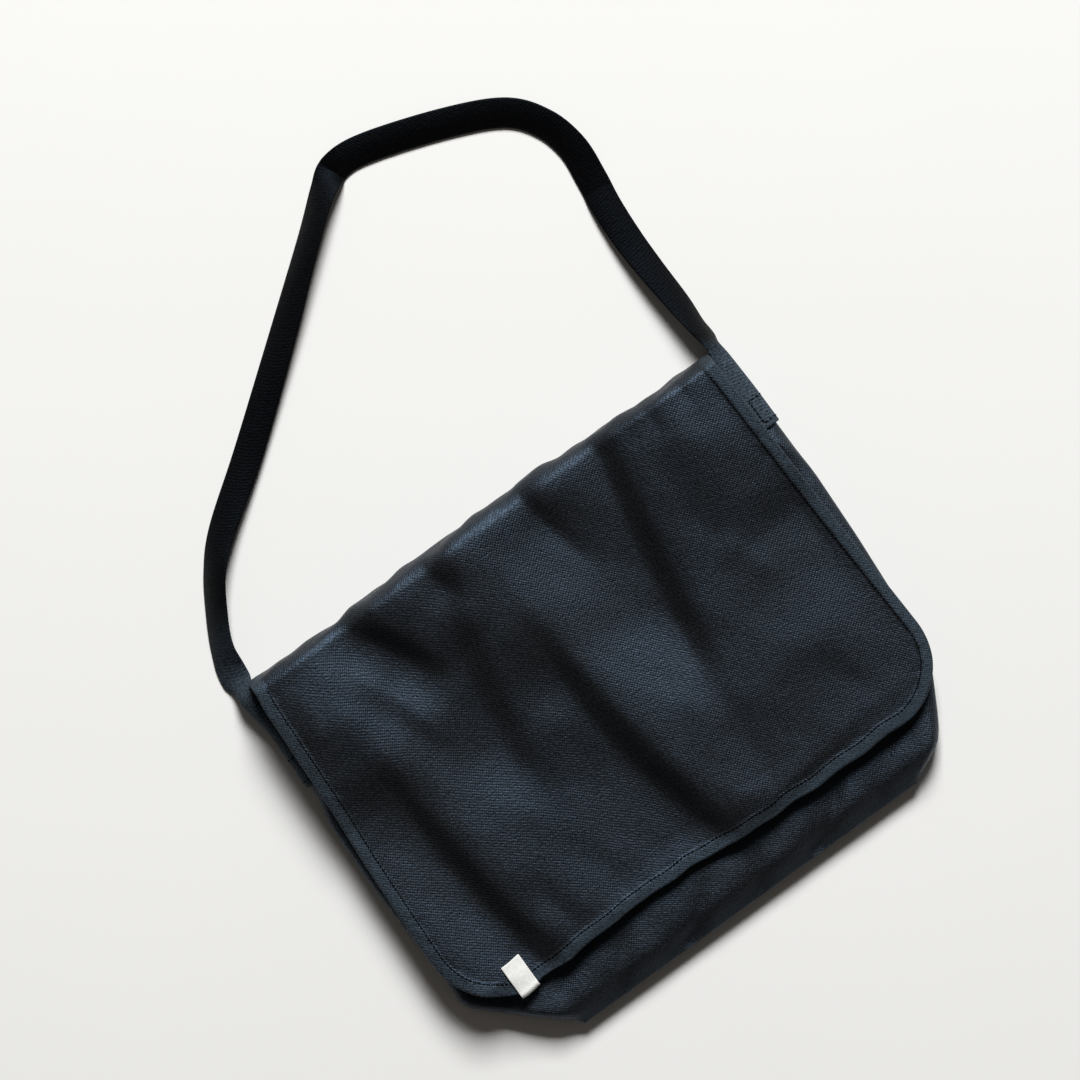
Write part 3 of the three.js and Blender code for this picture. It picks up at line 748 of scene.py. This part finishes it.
def stitch_row(name, centres, along, up, length, width):
    """A row of stitches as one mesh: each is a short thread of rings along its stitch, narrow at both ends
    and full between, whose ring points are centre + along + cos(turn) sideways + sin(turn) up."""
    along = unit(along)
    sideways = unit(np.cross(up, along))
    up = np.cross(along, sideways)
    reach = np.array(RING_PLACES)[:, None] * length / 2
    radius = np.array(RING_WIDTHS)[:, None] * width / 2
    turn = np.radians(RING_TURNS)
    points = (
        centres[:, None, None]
        + along[:, None, None] * (reach + 0 * turn)[..., None]
        + sideways[:, None, None] * (radius * np.cos(turn))[..., None]
        + up[:, None, None] * (radius * np.sin(turn))[..., None]
    )
    ring = np.arange(reach.size * turn.size).reshape(reach.size, turn.size)
    after = np.roll(ring, -1, 1)
    sides = np.stack([ring[:-1], after[:-1], after[1:], ring[1:]], -1).reshape(-1, 4)
    one = np.concatenate([sides, ring[:1, ::-1], ring[-1:]])
    quads = (ring.size * np.arange(len(centres))[:, None, None] + one).reshape(-1, 4)
    points = points.reshape(-1, 3)
    return make_piece(name, points, quads, points[:, :2], np.zeros(len(points)))


def evenly(path, spacing):
    """Places one spacing apart along a path, and the directions there."""
    walked = np.concatenate([[0], np.cumsum(np.linalg.norm(np.diff(path, axis=0), axis=1))])
    stops = np.arange(spacing / 2, walked[-1], spacing)
    places = np.stack([np.interp(stops, walked, path[:, k]) for k in range(path.shape[1])], -1)
    return places, np.gradient(places, axis=0)


def hem_line(depth):
    """The line at a depth inside the flap's outline: down its left side, round the corner, along the lower
    edge, round the other corner and up its right side, as x and y."""
    lowest = FLAP_LOWER_EDGE["y"][0]
    radius = FLAP_CORNER - depth
    down = np.linspace(TOP_ROLL_MIDDLE - lowest, FLAP_CORNER, HEM_LINE_POINTS)
    turn = np.linspace(0, math.pi / 2, HEM_CORNER_POINTS)
    inside = np.concatenate([depth + 0 * down, FLAP_CORNER - radius * np.cos(turn)])
    above = np.concatenate([down, FLAP_CORNER - radius * np.sin(turn)])
    sides = []
    for edge, sign in (("left", 1), ("right", -1)):
        y = lowest + above
        for _ in range(2):
            x = read_soft(FLAP_SIDES, edge, y) + sign * inside
            y = above + lower_edge(x)
        sides.append(np.stack([x, y], -1))
    left, right = sides
    x = np.linspace(left[-1, 0], right[-1, 0], HEM_LINE_POINTS)[1:-1]
    lower = np.stack([x, depth + lower_edge(x)], -1)
    return np.concatenate([left, lower, right[::-1]])


def on_flap(places):
    """Points on the flap's outer face over places x and y, and its normals there."""
    x, y = places.T
    slope_x = (flap_height(x + SLOPE_STEP, y) - flap_height(x - SLOPE_STEP, y)) / (2 * SLOPE_STEP)
    slope_y = (flap_height(x, y + SLOPE_STEP) - flap_height(x, y - SLOPE_STEP)) / (2 * SLOPE_STEP)
    points = np.stack([x, y, flap_height(x, y)], -1)
    return points, unit(np.stack([-slope_x, -slope_y, np.ones_like(x)], -1))


def make_hem_stitches():
    """The topstitching along the flap's hem, left out under the label."""
    places, _ = evenly(hem_line(STITCH_LINE), STITCH_SPACING)
    near_label = np.abs(places[:, 0] - LABEL_MIDDLE) < LABEL_WIDTH / 2
    keep = ~(near_label & (places[:, 1] < LOWER_HEM_TO))
    points, normals = on_flap(places)
    along = np.gradient(points, axis=0)
    return stitch_row("hem_stitches", points[keep], along[keep], normals[keep], STITCH_LENGTH, THREAD_WIDTH)


def make_strap_stitches(name, side, end_y):
    """The box of stitches that holds a strap end on the body's side: across the end, across above it and
    along both edges, on the strap's wrapped outer face."""
    low = end_y + STRAP_BOX_START
    high = end_y + STRAP_BOX
    front = STRAP_ON_FRONT - STRAP_BOX_INSET
    back = STRAP_ON_FRONT - STRAP_WIDTH + STRAP_BOX_INSET
    corners = np.array([(low, back), (low, front), (high, front), (high, back), (low, back)])
    places, ways = evenly(corners, STITCH_SPACING)
    sign = np.full(len(places), side)
    step = WALK_STEP * unit(ways)
    points = wrapped_points(sign, places[:, 0], places[:, 1])
    ahead = wrapped_points(sign, places[:, 0] + step[:, 0], places[:, 1] + step[:, 1])
    off = wrapped_points(sign, places[:, 0], places[:, 1], lift=1)
    return stitch_row(name, points, ahead - points, unit(off - points), STITCH_LENGTH, THREAD_WIDTH)


def colour(hex_code):
    """An sRGB hex colour as linear red, green, blue and alpha."""
    channels = np.array([int(hex_code[k : k + 2], 16) for k in (1, 3, 5)]) / 255
    linear = np.where(channels <= 0.04045, channels / 12.92, ((channels + 0.055) / 1.055) ** 2.4)
    return (*linear.tolist(), 1)


def add_node(tree, kind, inputs=None, **settings):
    """Adds a node with its settings. Each input is a value for its socket or a socket to link to it."""
    node = tree.nodes.new(kind)
    for name, value in settings.items():
        setattr(node, name, value)
    for socket, value in (inputs or {}).items():
        if isinstance(value, bpy.types.NodeSocket):
            tree.links.new(value, node.inputs[socket])
        else:
            node.inputs[socket].default_value = value
    return node


def add_noise(tree, place, size, detail):
    """Adds a noise whose patches have the given size in millimetres, and gives its output."""
    inputs = {"Vector": place, "Scale": 1 / (size * MM), "Detail": detail}
    return add_node(tree, "ShaderNodeTexNoise", inputs).outputs["Fac"]


def add_shade(tree, tone, shade):
    """Multiplies a colour by a shade, and gives its output."""
    inputs = {0: 1, 6: tone, 7: shade}
    return add_node(tree, "ShaderNodeMix", inputs, data_type="RGBA", blend_type="MULTIPLY").outputs[2]


def new_material(name):
    """An empty material and its node tree."""
    material = bpy.data.materials.new(name)
    material.use_nodes = True
    material.node_tree.nodes.clear()
    return material, material.node_tree


def woven_cloth(name, spacing, tones, roughness, gloss, relief):
    """A plain weave on the cloth's own UV map: sin(u) times sin(v) makes a check of threads that lie over and
    under, which sets the bump, and the colour and the roughness between their first and second values. Slubs
    and a slow fade break it up, and the wear-and-sheen attribute leads to the third values: wear on hems and
    seams, and painted sheen on the hems and the strap's ends."""
    deep, high, pale_wear_and_sheen = map(colour, tones)
    low, top = NOISE_RANGE
    darkest, palest = FADE_SHADES
    material, tree = new_material(name)
    uv = add_node(tree, "ShaderNodeUVMap", uv_map="Cloth")
    parts = add_node(tree, "ShaderNodeSeparateXYZ", {0: uv.outputs[0]})
    pace = math.pi / (spacing * MM)
    waves = []
    for axis in ("X", "Y"):
        angle = add_node(tree, "ShaderNodeMath", {0: parts.outputs[axis], 1: pace}, operation="MULTIPLY")
        waves.append(add_node(tree, "ShaderNodeMath", {0: angle.outputs[0]}, operation="SINE").outputs[0])
    check = add_node(tree, "ShaderNodeMath", {0: waves[0], 1: waves[1]}, operation="MULTIPLY")
    span = {1: -WEAVE_CONTRAST, 2: WEAVE_CONTRAST, 3: 0, 4: 1}
    level = add_node(tree, "ShaderNodeMapRange", {0: check.outputs[0], **span})
    place = add_node(tree, "ShaderNodeTexCoord").outputs["Object"]
    slub = add_noise(tree, place, SLUB_SIZE, 2)
    fade = add_noise(tree, place, FADE_SIZE, 4)
    thick = add_node(tree, "ShaderNodeMapRange", {0: slub, 1: low, 2: top, 3: 0, 4: 1})
    grain = add_node(tree, "ShaderNodeMix", {0: SLUB_SHARE, 2: level.outputs[0], 3: thick.outputs[0]})
    threads = add_node(tree, "ShaderNodeMix", {0: grain.outputs[0], 6: deep, 7: high}, data_type="RGBA")
    faded = add_node(tree, "ShaderNodeMapRange", {0: fade, 1: low, 2: top, 3: darkest, 4: palest})
    dyed = add_shade(tree, threads.outputs[2], faded.outputs[0])
    # The wear-and-sheen attribute mixes in the pale third tone: wear, and painted sheen on hems and strap
    # ends
    wear_and_sheen_share = add_node(tree, "ShaderNodeAttribute", attribute_name="WearAndSheen").outputs["Fac"]
    patchy = add_node(tree, "ShaderNodeMath", {0: wear_and_sheen_share, 1: grain.outputs[0]}, operation="MULTIPLY")
    pale = add_node(tree, "ShaderNodeMix", {0: patchy.outputs[0], 6: dyed, 7: pale_wear_and_sheen}, data_type="RGBA")
    fresh = add_node(tree, "ShaderNodeMix", {0: grain.outputs[0], 2: roughness[0], 3: roughness[1]})
    rough = add_node(tree, "ShaderNodeMix", {0: patchy.outputs[0], 2: fresh.outputs[0], 3: roughness[2]})
    raised = {"Strength": 1, "Distance": relief * MM, "Height": grain.outputs[0]}
    bump = add_node(tree, "ShaderNodeBump", raised)
    shader = add_node(
        tree,
        "ShaderNodeBsdfPrincipled",
        {
            "Base Color": pale.outputs[2],
            "Roughness": rough.outputs[0],
            "Specular IOR Level": gloss,
            "Specular Tint": colour(GLOSS_TINT),
            "Normal": bump.outputs[0],
        },
    )
    add_node(tree, "ShaderNodeOutputMaterial", {0: shader.outputs[0]})
    return material


def plain_finish(name, hex_code, roughness, gloss, grain_size, grain_share):
    """A finish of one colour, broken up a little by a fine noise."""
    material, tree = new_material(name)
    place = add_node(tree, "ShaderNodeTexCoord").outputs["Object"]
    low, top = NOISE_RANGE
    noise = add_noise(tree, place, grain_size, 3)
    shade = add_node(tree, "ShaderNodeMapRange", {0: noise, 1: low, 2: top, 3: 1 - grain_share, 4: 1})
    tone = add_shade(tree, colour(hex_code), shade.outputs[0])
    finish = {"Base Color": tone, "Roughness": roughness, "Specular IOR Level": gloss}
    shader = add_node(tree, "ShaderNodeBsdfPrincipled", finish)
    add_node(tree, "ShaderNodeOutputMaterial", {0: shader.outputs[0]})
    return material


def make_floor(material):
    """A plain pale floor under the bag."""
    mesh = bpy.data.meshes.new("floor")
    corners = ((-1, -1), (1, -1), (1, 1), (-1, 1))
    points = [(x * FLOOR_REACH, y * FLOOR_REACH, FLOOR) for x, y in corners]
    mesh.from_pydata(points, [], [(0, 1, 2, 3)])
    floor = bpy.data.objects.new("floor", mesh)
    bpy.context.collection.objects.link(floor)
    floor.data.materials.append(material)


def make_light(name, azimuth, elevation, distance, size, power):
    """A square soft box that looks at the bag from an azimuth, counted from +X to +Y, and an elevation."""
    light = bpy.data.lights.new(name, "AREA")
    light.shape = "SQUARE"
    light.size = size
    light.energy = power
    lamp = bpy.data.objects.new(name, light)
    bpy.context.collection.objects.link(lamp)
    tilt = math.radians(90 - elevation)
    turn = math.radians(azimuth)
    x = PICTURE_MIDDLE[0] * MM + distance * math.sin(tilt) * math.cos(turn)
    y = PICTURE_MIDDLE[1] * MM + distance * math.sin(tilt) * math.sin(turn)
    lamp.location = (x, y, distance * math.cos(tilt))
    lamp.rotation_euler = (0, tilt, turn)


def make_camera():
    """The camera, straight above, as high as its lens needs to take in the picture's width at the cloth."""
    camera = bpy.data.cameras.new("camera")
    camera.lens = LENS
    camera.sensor_width = SENSOR
    eye = bpy.data.objects.new("camera", camera)
    bpy.context.collection.objects.link(eye)
    height = PICTURE_WIDTH * LENS / SENSOR + CLOTH_LEVEL
    eye.location = (PICTURE_MIDDLE[0] * MM, PICTURE_MIDDLE[1] * MM, height * MM)
    eye.rotation_euler = (0, 0, math.radians(PICTURE_TURN))
    bpy.context.scene.camera = eye


def make_surroundings():
    """The floor, the soft box and a weak even light from all round."""
    paper = plain_finish(
        "studio_floor_paper", FLOOR_TONE, FLOOR_ROUGHNESS, FLOOR_GLOSS, FLOOR_GRAIN, FLOOR_GRAIN_SHARE
    )
    make_floor(paper)
    make_light("key_soft_box", KEY_AZIMUTH, KEY_ELEVATION, KEY_DISTANCE, KEY_SIZE, KEY_POWER)
    world = bpy.data.worlds.new("studio")
    world.use_nodes = True
    background = world.node_tree.nodes["Background"]
    background.inputs["Color"].default_value = colour(FILL_TONE)
    background.inputs["Strength"].default_value = FILL
    bpy.context.scene.world = world
    bpy.context.scene.view_settings.view_transform = "Standard"


def finish_piece(piece, material, nodes=()):
    """Gives a piece its material and slot, and lets it ride on the bag in place of its nodes."""
    piece.data.materials.append(material)
    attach(piece, "root")
    if nodes:
        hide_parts(*nodes)


def make_bag():
    """All pieces of the bag."""
    canvas = woven_cloth(
        "navy_polyester_canvas", THREAD_SPACING, CANVAS_TONES, CANVAS_ROUGHNESS, CANVAS_GLOSS, CANVAS_RELIEF
    )
    webbing = woven_cloth(
        "folded_canvas_strap", THREAD_SPACING, STRAP_PAINTED_SHADE_AND_LIGHT_TONES, STRAP_ROUGHNESS, STRAP_GLOSS, CANVAS_RELIEF
    )
    tape = woven_cloth("white_cotton_tape", TAPE_SPACING, TAPE_TONES, TAPE_ROUGHNESS, TAPE_GLOSS, TAPE_RELIEF)
    thread = plain_finish(
        "navy_sewing_thread", THREAD_TONE, THREAD_ROUGHNESS, THREAD_GLOSS, THREAD_GRAIN, THREAD_GRAIN_SHARE
    )
    flap = make_flap()
    front = make_front_panel()
    back = make_back_panel()
    strap = make_strap()
    label = make_label()
    panel_parts = ("panel", "bottom_roll", "left_roll", "right_roll")
    finish_piece(flap, canvas, ["flap"])
    finish_piece(front, canvas, [f"front_{part}" for part in panel_parts])
    finish_piece(back, canvas, [f"back_{part}" for part in panel_parts])
    finish_piece(strap, webbing, ["strap"])
    finish_piece(label, tape, ["label"])
    hem = make_hem_stitches()
    right_box = make_strap_stitches("right_strap_stitches", 1, STRAP_ROUTE["y"][0])
    left_box = make_strap_stitches("left_strap_stitches", -1, STRAP_ROUTE["y"][-1])
    for stitches in (hem, right_box, left_box):
        finish_piece(stitches, thread)


make_surroundings()
make_camera()
make_bag()
